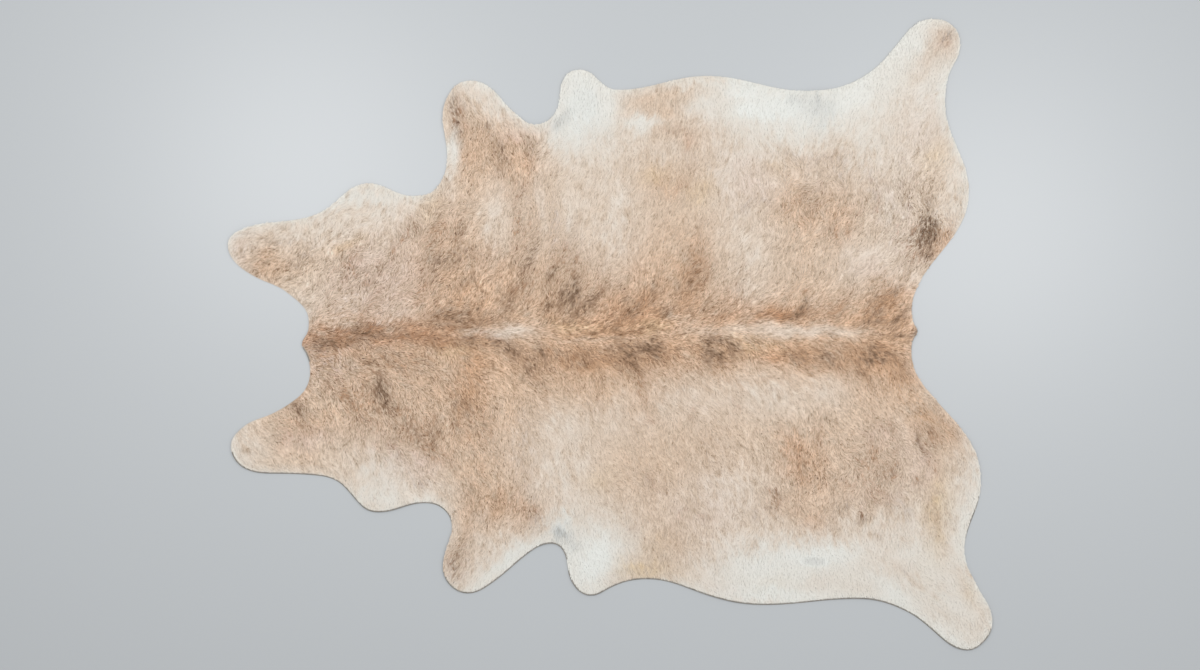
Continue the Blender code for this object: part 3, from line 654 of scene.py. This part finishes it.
def edge_distance(inside):
    """The distance from each cell to the trimmed edge, in metres, negative outside it."""
    points = []
    mesh = solid.data
    for face in mesh.polygons:
        if abs(face.normal.z) > 0.3:
            continue
        ring = [mesh.vertices[v].co for v in face.vertices]
        for a, b in zip(ring, ring[1:] + ring[:1]):
            if abs(a.z - b.z) > 0.3 * (a - b).length:
                continue
            parts = max(1, int((a - b).length / (1.5 * MM)))
            points += [a.lerp(b, part / parts) for part in range(parts)]
    tree = KDTree(len(points))
    for number, point in enumerate(points):
        tree.insert((point.x, point.y, 0), number)
    tree.balance()
    every = 2
    coarse = np.zeros((len(ys[::every]), len(xs[::every])))
    for r, y in enumerate(ys[::every]):
        for c, x in enumerate(xs[::every]):
            coarse[r, c] = tree.find((x, y, 0))[2]
    coarse[inside[::every, ::every] == 0] *= -1
    return sample(coarse, X, Y, every * CELL)


inside, under = underside()
edge = edge_distance(inside)
inward_y, inward_x = np.gradient(edge, CELL)
# From 0 to 1, how far the nearest edge faces -Y, faded out over 8 cm about the spine: where the shadow is
# painted, and free is the leather that the coat leaves bare there for it
facing_down = np.clip((inward_y + 0.05) / 0.50, 0, 1) * np.clip(0.5 - Y / (8 * CM), 0, 1)
free = SHADOW_STRIP_WIDTH * blur(facing_down, 6 * MM)
rough = streakiness()
colours = hair_colours()
bare = thin_hair()


def new_object(name, mesh):
    made = bpy.data.objects.new(name, mesh)
    bpy.context.scene.collection.objects.link(made)
    return made


def set_colours(mesh, values, strands):
    """The colour of each point, and in the fourth channel how strongly the strands show."""
    layer = mesh.color_attributes.new("hair_colour_and_painted_light", "FLOAT_COLOR", "POINT")
    rgba = np.ones((len(values), 4), np.float32)
    rgba[:, :3] = values
    rgba[:, 3] = strands
    layer.data.foreach_set("color", rgba.ravel())


def set_bake_map(mesh, low, high):
    """A flat map from above, so that a texture of the piece follows the chart."""
    points = np.zeros(len(mesh.vertices) * 3, np.float32)
    mesh.vertices.foreach_get("co", points)
    points = points.reshape(-1, 3)
    corners = np.zeros(len(mesh.loops), np.int32)
    mesh.loops.foreach_get("vertex_index", corners)
    u = 0.01 + 0.98 * (points[corners, 0] - low[0]) / (high[0] - low[0])
    v = 0.01 + 0.98 * (points[corners, 1] - low[1]) / (high[1] - low[1])
    layer = mesh.uv_layers.new(name="OFBake")
    layer.data.foreach_set("uv", np.stack([u, v], 1).astype(np.float32).ravel())


def make_skin():
    """The leather: the solid's outline and folds at the leather's thickness."""
    shape = bmesh.new()
    shape.from_mesh(solid.data)
    bmesh.ops.remove_doubles(shape, verts=shape.verts, dist=0.01 * MM)
    for longest in (26 * MM, 13 * MM, 9 * MM):
        long_edges = [e for e in shape.edges if e.calc_length() > longest]
        bmesh.ops.subdivide_edges(shape, edges=long_edges, cuts=1, use_grid_fill=True)
        bmesh.ops.triangulate(shape, faces=shape.faces)
    points = np.array([v.co for v in shape.verts])
    floor = sample(under, points[:, 0], points[:, 1])
    share = np.clip((points[:, 2] - floor) / SOLID_THICKNESS, 0, 1)
    share = np.where(share < 0.2, 0, np.where(share > 0.85, 1, share))
    height = floor + share * LEATHER
    for vertex, z in zip(shape.verts, height):
        vertex.co.z = z
    for face in shape.faces:
        face.smooth = abs(face.normal.z) > 0.5
        centre = face.calc_center_median()
        top = sample(under, np.array([centre.x]), np.array([centre.y]))[0] + LEATHER / 2
        if abs(face.normal.z) < 0.5:
            face.material_index = 2
        elif centre.z < top:
            face.material_index = 1
    mesh = bpy.data.meshes.new("leather")
    shape.to_mesh(mesh)
    shape.free()
    # Painted shade: the leather's top takes the hair's colours darkened to 0.85, for the shade between the
    # locks
    set_colours(mesh, 0.85 * sample(colours, points[:, 0], points[:, 1]), 1.0)
    return new_object("leather", mesh)


def make_edge_shadow(skin):
    """A painted shadow under the edges that face -Y: a dark ribbon on the leather's top, where the coat ends
    short of the edge.
    """
    shape = bmesh.new()
    shape.from_mesh(skin.data)
    follows = {}
    for side in shape.edges:
        kinds = [face.material_index for face in side.link_faces]
        if sorted(kinds) != [0, 2]:
            continue
        top = side.link_faces[kinds.index(0)]
        for corner in top.loops:
            if corner.edge == side:
                follows[corner.vert.index] = corner.link_loop_next.vert.index
    points = np.array([v.co for v in shape.verts])
    shape.free()
    tops = LEATHER + sample(under, points[:, 0], points[:, 1])
    ways = np.stack([sample(way, points[:, 0], points[:, 1]) for way in (inward_x, inward_y)], 1)
    ways /= np.maximum(np.hypot(ways[:, 0], ways[:, 1]), 0.3)[:, None]
    shown = sample(free, points[:, 0], points[:, 1]) > RIBBON_FROM * SHADOW_STRIP_WIDTH
    pairs = [(start, end) for start, end in follows.items() if shown[start] and shown[end]]
    rows = []
    number = {}
    for start in sorted({point for pair in pairs for point in pair}):
        inward = np.array([*ways[start], 0])
        number[start] = len(rows)
        place = np.array([points[start][0], points[start][1], tops[start]])
        for offset, rise in RIBBON:
            rows.append(place + inward * offset * MM + np.array([0, 0, rise * MM]))
    faces = []
    for start, end in pairs:
        a = number[start]
        b = number[end]
        faces.append((a, b, b + 1, a + 1))
        faces.append((a + 1, b + 1, b + 2, a + 2))
    mesh = bpy.data.meshes.new("edge_shadow_ribbon")
    mesh.from_pydata(rows, [], faces)
    mesh.polygons.foreach_set("use_smooth", np.ones(len(faces), bool))
    return new_object("edge_shadow_ribbon", mesh)


def lock_roots():
    """Places of the locks' roots, a little shaken from even rows, all inside the edge."""
    shake = rng(31)
    row_step = LOCK_SPACING * np.sqrt(3) / 2
    rows = np.arange(-HALF_Y, HALF_Y, row_step)
    places = []
    for number, y in enumerate(rows):
        x = np.arange(-HALF_X, HALF_X, LOCK_SPACING) + (number % 2) * LOCK_SPACING / 2
        places.append(np.stack([x, np.full_like(x, y)], 1))
    places = np.concatenate(places)
    places += shake.uniform(-0.45, 0.45, places.shape) * LOCK_SPACING
    distance = sample(edge, places[:, 0], places[:, 1])
    covered = shake.uniform(0, 1, len(places)) > 0.8 * sample(bare, places[:, 0], places[:, 1])
    # Where the shadow is painted, the roots stay back from the edge
    distance -= ROOTS_BACK * sample(free, places[:, 0], places[:, 1])
    places = places[(distance > ROOT_MARGIN) & covered]
    return places[np.argsort(places[:, 1], kind="stable")]


def between(spread, dice, count):
    return dice.uniform(spread[0], spread[1], count)


def make_locks(number, roots):
    """One strip of the coat. A lock is a flat leaf: two points at its root, two at its crown, and its tip."""
    dice = rng(40 + number)
    count = len(roots)
    x = roots[:, 0]
    y = roots[:, 1]
    turned = np.arctan2(sample(flow_y, x, y), sample(flow_x, x, y)) + dice.normal(0, HEADING_SCATTER, count)
    length = between(LOCK_LENGTH, dice, count)
    short = between(SHORT_LOCK_LENGTH, dice, count)
    from_edge = sample(edge, x, y)
    length = np.where(from_edge < EDGE_BAND, short + (length - short) * from_edge / EDGE_BAND, length)
    along = np.stack([np.cos(turned), np.sin(turned)], 1)
    past = between(OVERHANG, dice, count)
    # Where the shadow is painted, the locks end short of the edge and leave the leather bare for it
    freed = sample(free, x, y)
    past = past * (1 - freed / SHADOW_STRIP_WIDTH) - freed
    fits = np.full(count, SHORTEST_SHARE)
    for share in CUT_SHARES:
        tip = roots + along * (length * share)[:, None]
        lies_on = sample(edge, tip[:, 0], tip[:, 1]) > -past
        fits = np.where((fits == SHORTEST_SHARE) & lies_on, share, fits)
    length = length * fits
    width = between(LOCK_WIDTH, dice, count) * np.sqrt(0.4 + 0.6 * fits)
    side = np.stack([-along[:, 1], along[:, 0]], 1)
    bend = dice.normal(0, 0.16, count) * length
    crown = roots + along * (0.45 * length)[:, None] + side * (0.3 * bend)[:, None]
    tip = roots + along * length[:, None] + side * bend[:, None]
    half = side * (width / 2)[:, None]
    calm = tan_share(sample(colours, x, y))
    roll = dice.normal(0, 0.15, count) * width * (0.3 + 0.7 * calm)
    top = LEATHER + sample(under, x, y)
    crown_z = LEATHER + sample(under, crown[:, 0], crown[:, 1])
    crown_z += between(LOCK_CROWN, dice, count) * (0.45 + 0.55 * fits)
    tip_z = LEATHER + sample(under, tip[:, 0], tip[:, 1])
    tip_z += between(LOCK_TIP, dice, count) * (0.4 + 0.6 * fits)
    tip_edge = sample(edge, tip[:, 0], tip[:, 1])
    tip_z = tip_z - np.clip(0.8 * MM - tip_edge, 0, 2.2 * MM)
    points = np.zeros((count, 5, 3), np.float32)
    points[:, 0, :2] = roots - half * 0.8
    points[:, 1, :2] = roots + half * 0.8
    points[:, 2, :2] = crown - half
    points[:, 3, :2] = crown + half
    points[:, 4, :2] = tip
    points[:, 0, 2] = top - 0.3 * MM
    points[:, 1, 2] = top - 0.3 * MM
    points[:, 2, 2] = crown_z - roll
    points[:, 3, 2] = crown_z + roll
    points[:, 4, 2] = tip_z

    mesh = bpy.data.meshes.new(f"coat_{number}")
    mesh.vertices.add(count * 5)
    mesh.vertices.foreach_set("co", points.ravel())
    pattern = np.array([0, 2, 3, 1, 2, 4, 3])
    corners = (pattern[None, :] + 5 * np.arange(count)[:, None]).ravel()
    mesh.loops.add(count * 7)
    mesh.loops.foreach_set("vertex_index", corners.astype(np.int32))
    starts = (np.array([0, 4])[None, :] + 7 * np.arange(count)[:, None]).ravel()
    mesh.polygons.add(count * 2)
    mesh.polygons.foreach_set("loop_start", starts.astype(np.int32))
    mesh.update(calc_edges=True)
    mesh.validate()
    mesh.polygons.foreach_set("use_smooth", np.ones(count * 2, bool))

    middle = roots + along * (0.6 * length)[:, None]
    own = sample(colours, middle[:, 0], middle[:, 1])
    below = sample(colours, points[:, :, 0], points[:, :, 1])
    tanned = tan_share(own) * sample(rough, x, y)
    # Painted shade: each lock's roots are painted darker, for the shade of the locks above, and its tip a
    # little lighter; on top, each lock is darker or lighter at random. Tan hair takes most of it.
    darker = dice.gamma(1.3, 0.27, count)
    shade = np.array([-0.20, -0.20, -0.02, -0.02, 0.06])[None, :] + (0.35 - darker)[:, None]
    tint = np.exp((tanned[:, None] * shade)[:, :, None] * STREAK_TINT)
    values = np.clip((0.35 * own[:, None, :] + 0.65 * below) * tint, 0, 0.95)
    set_colours(mesh, values.reshape(-1, 3), np.repeat(tanned, 5))
    strand = np.zeros((count, 5, 3), np.float32)
    strand[:, :, 0] = np.array([0.1, 0.9, 0.0, 1.0, 0.5])
    strand[:, :, 1] = np.array([0.0, 0.0, 0.45, 0.45, 1.0])
    strand[:, :, 2] = dice.uniform(0, 400, count)[:, None]
    layer = mesh.attributes.new("strand", "FLOAT_VECTOR", "POINT")
    layer.data.foreach_set("vector", strand.ravel())
    low = points.reshape(-1, 3).min(0)
    high = points.reshape(-1, 3).max(0)
    set_bake_map(mesh, low, high)
    return new_object(f"coat_{number}", mesh)


def new_material(name, roughness=0.5, specular=0.5):
    """A material and its shader."""
    made = bpy.data.materials.new(name)
    made.use_nodes = True
    shader = made.node_tree.nodes["Principled BSDF"]
    shader.inputs["Roughness"].default_value = roughness
    shader.inputs["Specular IOR Level"].default_value = specular
    return made, shader


def add_node(material, kind, values=None, **settings):
    """A node of a kind, with its settings, and with values for some of its inputs."""
    node = material.node_tree.nodes.new("ShaderNode" + kind)
    for name, setting in settings.items():
        setattr(node, name, setting)
    for entry, value in (values or {}).items():
        node.inputs[entry].default_value = value
    return node


def join(material, *rows):
    """Links nodes: each row is a node, its output, the next node and its input."""
    for source, output, target, entry in rows:
        material.node_tree.links.new(source.outputs[output], target.inputs[entry])


def coat_material():
    """Short straight hair: each lock shows its own fine strands, light and dark side by side."""
    made, shader = new_material("short_hair", specular=0.18)
    shader.inputs["Sheen Weight"].default_value = 0.02
    shader.inputs["Sheen Roughness"].default_value = 0.45
    colour = add_node(made, "Attribute", attribute_name="hair_colour_and_painted_light")
    strand = add_node(made, "Attribute", attribute_name="strand")
    stretch = add_node(made, "VectorMath", {1: (5.0, 1.6, 1.0)}, operation="MULTIPLY")
    noise = add_node(made, "TexNoise", {"Scale": 1.0, "Detail": 2.0})
    shade = add_node(made, "MapRange", {"From Min": 0.3, "From Max": 0.7})
    light_and_dark = {1: (0.21, 0.26, 0.31), 2: (0.88, 0.86, 0.84)}
    tint = add_node(made, "VectorMath", light_and_dark, operation="MULTIPLY_ADD")
    mixed = add_node(made, "Mix", data_type="RGBA", blend_type="MULTIPLY")
    gloss = add_node(made, "MapRange", {"To Min": 0.50, "To Max": 0.72})
    bump = add_node(made, "Bump", {"Strength": 0.35, "Distance": 0.3 * MM})
    join(
        made,
        (strand, "Vector", stretch, 0),
        (stretch, "Vector", noise, "Vector"),
        (noise, "Fac", shade, "Value"),
        (colour, "Color", mixed, "A"),
        (shade, "Result", tint, 0),
        (tint, "Vector", mixed, "B"),
        (colour, "Alpha", mixed, "Factor"),
        (mixed, "Result", shader, "Base Color"),
        (noise, "Fac", gloss, "Value"),
        (gloss, "Result", shader, "Roughness"),
        (noise, "Fac", bump, "Height"),
        (bump, "Normal", shader, "Normal"),
    )
    return made


def grained(name, dark, light, size, stretch, depth, roughness):
    """A leather face: two tones in a grain of a size in metres, with the grain raised."""
    made, shader = new_material(name, roughness, 0.25)
    place = add_node(made, "TexCoord")
    spread = add_node(made, "Mapping", {"Scale": stretch})
    fine = add_node(made, "TexNoise", {"Scale": 1 / size, "Detail": 6.0, "Roughness": 0.65})
    broad = add_node(made, "TexNoise", {"Scale": 0.08 / size, "Detail": 3.0})
    both = add_node(made, "Math", {1: 0.55}, operation="MULTIPLY_ADD")
    tones = add_node(made, "ValToRGB")
    for stop, place_of_tone, tone in zip(tones.color_ramp.elements, (0.5, 1.0), (dark, light)):
        stop.position = place_of_tone
        stop.color = (*linear(tone), 1)
    bump = add_node(made, "Bump", {"Strength": 0.6, "Distance": depth})
    join(
        made,
        (place, "Object", spread, "Vector"),
        (spread, "Vector", fine, "Vector"),
        (place, "Object", broad, "Vector"),
        (fine, "Fac", both, 0),
        (broad, "Fac", both, 2),
        (both, "Value", tones, "Fac"),
        (tones, "Color", shader, "Base Color"),
        (fine, "Fac", bump, "Height"),
        (bump, "Normal", shader, "Normal"),
    )
    return made


def hair_side_material():
    """The leather between the locks: the coat's own colours, painted darker for the shade between the locks,
    with the pores of the hair.
    """
    made, shader = new_material("hair_side", 0.7)
    colour = add_node(made, "Attribute", attribute_name="hair_colour_and_painted_light")
    place = add_node(made, "TexCoord")
    pores = add_node(made, "TexNoise", {"Scale": 900.0, "Detail": 3.0})
    shade = add_node(made, "MapRange", {"From Min": 0.3, "From Max": 0.7, "To Min": 0.86, "To Max": 1.06})
    mixed = add_node(made, "Mix", {"Factor": 1.0}, data_type="RGBA", blend_type="MULTIPLY")
    bump = add_node(made, "Bump", {"Strength": 0.5, "Distance": 0.4 * MM})
    join(
        made,
        (place, "Object", pores, "Vector"),
        (pores, "Fac", shade, "Value"),
        (colour, "Color", mixed, "A"),
        (shade, "Result", mixed, "B"),
        (mixed, "Result", shader, "Base Color"),
        (pores, "Fac", bump, "Height"),
        (bump, "Normal", shader, "Normal"),
    )
    return made


def make_floor():
    mesh = bpy.data.meshes.new("floor")
    reach = 40.0
    corners = [(x * reach, y * reach, 0) for x, y in ((-1, -1), (1, -1), (1, 1), (-1, 1))]
    mesh.from_pydata(corners, [], [(0, 1, 2, 3)])
    floor = new_object("floor", mesh)
    made, shader = new_material("plain_floor", 0.38)
    shader.inputs["Base Color"].default_value = (*linear((188, 192, 195)), 1)
    mesh.materials.append(made)


def area_light(name, place, target, power):
    """A soft light one metre square, aimed at a place."""
    data = bpy.data.lights.new(name, "AREA")
    data.size = 1.0
    data.energy = power
    lamp = new_object(name, data)
    lamp.location = place
    aim = Vector(target) - Vector(place)
    lamp.rotation_euler = aim.to_track_quat("-Z", "Y").to_euler()
    lamp.visible_camera = False


def make_lights():
    world = bpy.data.worlds.new("studio")
    world.use_nodes = True
    sky = world.node_tree.nodes["Background"]
    sky.inputs["Color"].default_value = (1.0, 1.0, 1.0, 1)
    sky.inputs["Strength"].default_value = 0.60
    bpy.context.scene.world = world
    area_light("left_light", (-1.36, 0.75, 3.0), (-0.8, 0.40, 0.0), 34.8)
    area_light("right_light", (1.75, 0.50, 3.0), (1.0, 0.25, 0.0), 33.8)


def make_camera():
    """Straight above the photograph's centre, so that its frame covers the same floor."""
    data = bpy.data.cameras.new("camera")
    data.lens = LENS
    data.sensor_width = SENSOR
    camera = new_object("camera", data)
    camera.location = (*PHOTO_CENTRE, PHOTO_WIDTH * LENS / SENSOR)
    bpy.context.scene.camera = camera


make_camera()
make_lights()
make_floor()

skin = make_skin()
skin.data.materials.append(hair_side_material())
skin.data.materials.append(
    grained("flesh_side", (196, 186, 172), (226, 219, 208), 1.2 * MM, (1, 1, 1), 0.3 * MM, 0.9)
)
skin.data.materials.append(
    grained("cut_edge", (150, 138, 122), (196, 184, 166), 0.8 * MM, (1, 1, 3), 0.2 * MM, 0.8)
)
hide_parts("hide")
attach(skin, "root")

# A dark ribbon of painted shadow along the edges that face -Y, with a leather grain
line = make_edge_shadow(skin)
line.data.materials.append(
    grained("painted_edge_shadow", (127, 123, 116), (164, 159, 151), 0.8 * MM, (1, 1, 1), 0.2 * MM, 0.8)
)
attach(line, "root")

roots = lock_roots()
hair = coat_material()
for number, part in enumerate(np.array_split(roots, STRIPS), 1):
    strip = make_locks(number, part)
    strip.data.materials.append(hair)
    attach(strip, "root")

bpy.context.scene.view_settings.view_transform = "Standard"
bpy.context.scene.view_settings.look = "None"
